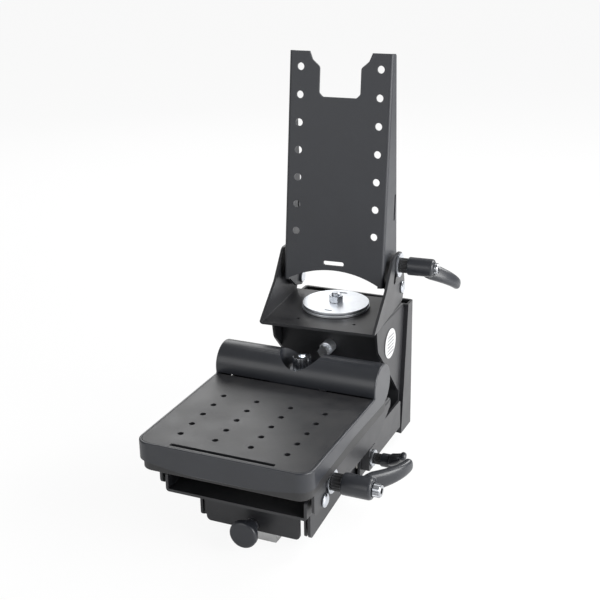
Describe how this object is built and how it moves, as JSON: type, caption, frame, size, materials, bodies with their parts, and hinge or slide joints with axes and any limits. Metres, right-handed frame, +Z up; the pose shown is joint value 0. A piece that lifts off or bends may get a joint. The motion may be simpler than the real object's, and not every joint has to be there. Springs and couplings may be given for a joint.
{
  "type": "vehicle mount for a display and a keyboard",
  "caption": "Black steel wall mount with a tilting, swivelling drilled display plate above a sliding, tilting keyboard tray, locked by clamping levers and a pull knob.",
  "frame": {"origin": "middle of the rear rail's back face, where the mount is bolted up", "axes": "+Z up, front towards -Y, +X to the right when facing the front"},
  "size_m": [0.2025, 0.3065, 0.3843],
  "materials": {
    "coated_steel": "satin black powder coat",
    "satin_plastic": "satin black",
    "black_plastic": "matte black",
    "zinc_steel": "bright zinc plate",
    "chrome": "polished",
    "aluminium": "milled",
    "nylon": "natural",
    "label_film": "silver film"
  },
  "bodies": {
    "stand": {"rear_rail": "coated_steel", "column_shell": "coated_steel", "column_back_plate": "coated_steel", "column_front_plate": "coated_steel", "column_bushing": "zinc_steel", "column_bolt": "zinc_steel", "label_disc": "label_film", "foot_channel": "coated_steel", "runner_right": "nylon", "runner_left": "nylon", "guide_block": "coated_steel", "swivel_bolt": "zinc_steel"},
    "slider": {"slide_channel": "coated_steel", "inner_channel": "coated_steel", "plunger_block": "aluminium", "plunger_sleeve": "zinc_steel", "plunger_spring": "zinc_steel", "tray_cradle": "coated_steel", "front_clamp_nut": "zinc_steel", "tray_pivot_right": "zinc_steel", "tray_pivot_left": "zinc_steel", "tray_spacer_right": "nylon", "tray_spacer_left": "nylon"},
    "plunger": {"plunger_pin": "zinc_steel", "pull_knob": "satin_plastic"},
    "tray": {"tray_bracket": "coated_steel", "tray_shell": "black_plastic", "tray_bezel": "satin_plastic", "tray_plate": "coated_steel", "lock_collar": "chrome"},
    "lock": {"lock_knob": "chrome"},
    "swivel": {"yoke": "coated_steel", "slip_disc": "nylon", "swivel_disc_lower": "zinc_steel", "swivel_disc_upper": "zinc_steel", "swivel_nut": "zinc_steel", "display_pivot_right": "zinc_steel", "display_pivot_left": "zinc_steel", "display_spacer_right": "nylon", "display_spacer_left": "nylon"},
    "display": {"display_plate": "coated_steel", "upper_clamp_nut": "zinc_steel"},
    "rear_lever": {"rear_clamp_washer": "zinc_steel", "rear_clamp_insert": "black_plastic", "rear_clamp_stud": "zinc_steel", "rear_clamp_cap_screw": "chrome", "rear_clamp_spring": "zinc_steel"},
    "rear_grip": {"rear_clamp_handle": "satin_plastic"},
    "front_lever": {"front_clamp_washer": "zinc_steel", "front_clamp_insert": "black_plastic", "front_clamp_stud": "zinc_steel", "front_clamp_cap_screw": "chrome", "front_clamp_spring": "zinc_steel"},
    "front_grip": {"front_clamp_handle": "satin_plastic"},
    "upper_lever": {"upper_clamp_washer": "zinc_steel", "upper_clamp_insert": "black_plastic", "upper_clamp_stud": "zinc_steel", "upper_clamp_cap_screw": "chrome", "upper_clamp_spring": "zinc_steel"},
    "upper_grip": {"upper_clamp_handle": "satin_plastic"}
  },
  "joints": [
    {"name": "base_slide", "type": "slide", "parent": "stand", "child": "slider", "axis": [0, -1, 0], "range_m": [-0.008, 0.06]},
    {"name": "plunger_pull", "type": "slide", "parent": "slider", "child": "plunger", "axis": [0, -1, 0], "range_m": [0, 0.007], "stiffness_N_per_m": 400, "springref_m": -0.003, "deforming": ["plunger_spring"]},
    {"name": "tray_tilt", "type": "hinge", "parent": "slider", "child": "tray", "pos_m": [0, -0.2575, -0.0168], "axis": [1, 0, 0], "range_deg": [0, 20]},
    {"name": "lock_turn", "type": "hinge", "parent": "tray", "child": "lock", "pos_m": [0, -0.1405, 0.04], "axis": [0, 0, 1], "range_deg": [0, 90]},
    {"name": "yoke_swivel", "type": "hinge", "parent": "stand", "child": "swivel", "pos_m": [0, -0.06, 0.069], "axis": [0, 0, 1], "range_deg": [-49, 41]},
    {"name": "display_tilt", "type": "hinge", "parent": "swivel", "child": "display", "pos_m": [-0.00228, -0.02738, 0.0835], "axis": [0.9976, 0.0698, 0], "range_deg": [-12, 28]},
    {"name": "rear_clamp_turn", "type": "hinge", "parent": "stand", "child": "rear_lever", "pos_m": [0.074, -0.134, -0.0417], "axis": [1, 0, 0], "range_deg": [-25, 25]},
    {"name": "rear_clamp_lift", "type": "slide", "parent": "rear_lever", "child": "rear_grip", "axis": [1, 0, 0], "range_m": [0, 0.003], "stiffness_N_per_m": 500, "springref_m": -0.002, "deforming": ["rear_clamp_spring"]},
    {"name": "front_clamp_turn", "type": "hinge", "parent": "slider", "child": "front_lever", "pos_m": [0.0811, -0.244, -0.0065], "axis": [1, 0, 0], "range_deg": [-25, 25]},
    {"name": "front_clamp_lift", "type": "slide", "parent": "front_lever", "child": "front_grip", "axis": [1, 0, 0], "range_m": [0, 0.004], "stiffness_N_per_m": 500, "springref_m": -0.002, "deforming": ["front_clamp_spring"]},
    {"name": "upper_clamp_turn", "type": "hinge", "parent": "display", "child": "upper_lever", "pos_m": [0.06315, -0.03555, 0.10956], "axis": [0.9976, 0.0698, 0], "range_deg": [-25, 25]},
    {"name": "upper_clamp_lift", "type": "slide", "parent": "upper_lever", "child": "upper_grip", "axis": [0.9976, 0.0698, 0], "range_m": [0, 0.004], "stiffness_N_per_m": 500, "springref_m": -0.002, "deforming": ["upper_clamp_spring"]}
  ]
}
